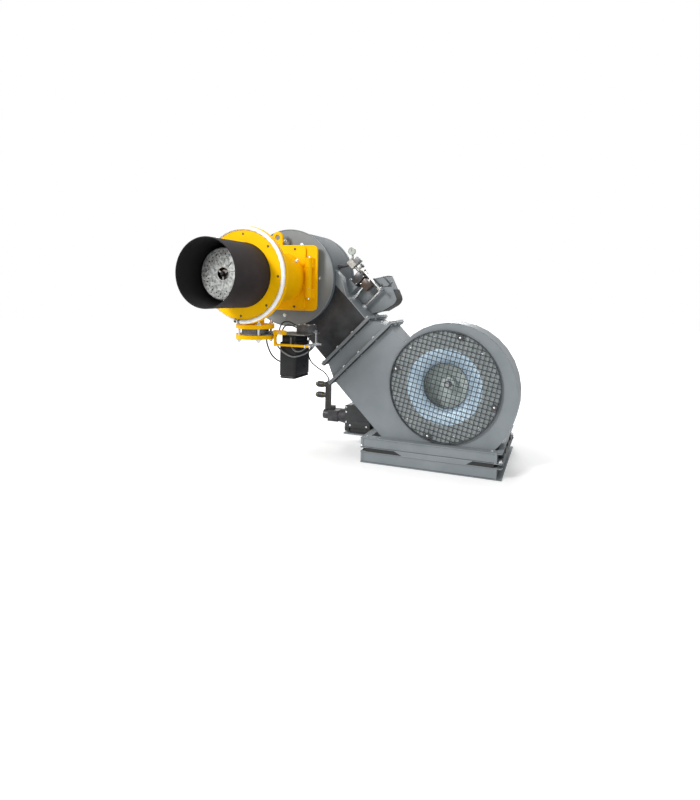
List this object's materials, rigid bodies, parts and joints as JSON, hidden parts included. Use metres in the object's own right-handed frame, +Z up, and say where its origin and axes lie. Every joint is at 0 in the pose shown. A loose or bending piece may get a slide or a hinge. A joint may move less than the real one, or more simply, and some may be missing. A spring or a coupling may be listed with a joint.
{
  "type": "industrial gas burner",
  "caption": "Industrial burner: a swing-out combustion head on a round air drum, fed through a slanted duct by a guarded fan on a skid, with gas butterfly and air damper linkages.",
  "frame": {"origin": "on the floor, in the middle of the box round the whole burner", "axes": "+X towards the fan, +Z up; the blast tube points to -Y, into the boiler"},
  "size_m": [1.5828, 1.3352, 1.289],
  "materials": {
    "yellow_paint": "semi-gloss",
    "grey_paint": "semi-gloss",
    "dark_paint": "satin",
    "black_plastic": "matt",
    "heat_steel": "heat-darkened",
    "galvanised": "mottled",
    "bright_steel": "plated",
    "chrome": "bright",
    "aluminium": "spun",
    "bronze": "dull",
    "rope": "woven",
    "rubber": "matt",
    "conduit": "ribbed"
  },
  "bodies": {
    "frame": {"air_duct": "grey_paint", "air_servo": "black_plastic", "base_lower_frame": "grey_paint", "base_upper_frame": "grey_paint", "drum_front_plate": "grey_paint", "drum_rear_cover": "grey_paint", "drum_shell": "grey_paint", "fan_motor": "dark_paint", "fan_scroll": "grey_paint", "hinge_pin": "chrome", "hinge_plate": "yellow_paint", "inlet_cone": "aluminium", "isolator_left_front": "rubber", "isolator_left_rear": "rubber", "isolator_right_front": "rubber", "isolator_right_rear": "rubber", "linkage_console": "grey_paint", "mesh_guard": "bright_steel", "motor_cowl": "dark_paint", "motor_stand": "grey_paint", "neck_ring": "dark_paint", "oil_manifold": "bronze", "oil_pump": "dark_paint", "oil_valve_lower": "bronze", "oil_valve_upper": "bronze", "pilot_coil": "black_plastic", "pilot_gauge": "chrome", "pilot_valve": "aluminium", "pump_bell_housing": "dark_paint", "pump_cable": "rubber", "pump_motor": "black_plastic", "terminal_box": "dark_paint", "transition_duct": "grey_paint"},
    "swing_head": {"blast_tube": "heat_steel", "front_ring": "yellow_paint", "gasket_rope": "rope", "head_housing": "yellow_paint", "diffuser": "galvanised", "gas_lance": "galvanised", "oil_nozzle": "bronze", "lower_gas_flange": "yellow_paint", "butterfly_body": "dark_paint", "servo_bracket": "bright_steel", "gas_servo_box": "black_plastic", "servo_gearbox": "bright_steel", "valve_cable": "rubber", "servo_conduit_long": "conduit", "servo_conduit_short": "conduit"},
    "gas_valve": {"butterfly_disc": "bright_steel", "valve_shaft": "chrome", "valve_crank": "yellow_paint"},
    "gas_servo_output": {"gas_servo_lever": "bright_steel"},
    "gas_linkage": {"gas_link": "bright_steel"},
    "fan_rotor": {"impeller": "bright_steel", "motor_shaft": "bright_steel", "hub_nut": "chrome"},
    "air_damper": {"damper_blade": "bright_steel", "damper_shaft": "chrome"},
    "air_servo_output": {"air_servo_lever": "bright_steel"},
    "air_linkage": {"air_link": "chrome"}
  },
  "joints": [
    {"name": "head_swing", "type": "hinge", "parent": "frame", "child": "swing_head", "pos_m": [-0.35039, -0.02565, 1.011], "axis": [0, 0, 1], "range_deg": [0, 60]},
    {"name": "gas_servo_turn", "type": "hinge", "parent": "swing_head", "child": "gas_servo_output", "pos_m": [-0.25139, -0.14965, 0.727], "axis": [-1, 0, 0], "range_deg": [0, 90]},
    {"name": "gas_valve_turn", "type": "hinge", "parent": "swing_head", "child": "gas_valve", "pos_m": [-0.51339, -0.27965, 0.727], "axis": [-1, 0, 0], "range_deg": [0, 90]},
    {"name": "gas_link_turn", "type": "hinge", "parent": "gas_servo_output", "child": "gas_linkage", "pos_m": [-0.25139, -0.14965, 0.664], "axis": [-1, 0, 0], "range_deg": [-90, 0]},
    {"name": "fan_spin", "type": "hinge", "parent": "frame", "child": "fan_rotor", "pos_m": [0.40444, 0.18235, 0.44673], "axis": [0, 1, 0], "continuous": true},
    {"name": "air_servo_turn", "type": "hinge", "parent": "frame", "child": "air_servo_output", "pos_m": [-0.33095, 0.21585, 0.82857], "axis": [0.7071, 0, 0.7071], "range_deg": [0, 85]},
    {"name": "damper_turn", "type": "hinge", "parent": "frame", "child": "air_damper", "pos_m": [-0.23337, 0.21585, 0.73099], "axis": [0.7071, 0, 0.7071], "range_deg": [0, 85]},
    {"name": "air_link_turn", "type": "hinge", "parent": "air_servo_output", "child": "air_linkage", "pos_m": [-0.33095, 0.16985, 0.82857], "axis": [0.7071, 0, 0.7071], "range_deg": [-85, 0]}
  ],
  "couplings": [
    {"joint": "gas_valve_turn", "follows": "gas_servo_turn", "ratio": 1},
    {"joint": "gas_link_turn", "follows": "gas_servo_turn", "ratio": -1},
    {"joint": "damper_turn", "follows": "air_servo_turn", "ratio": 1},
    {"joint": "air_link_turn", "follows": "air_servo_turn", "ratio": -1}
  ]
}
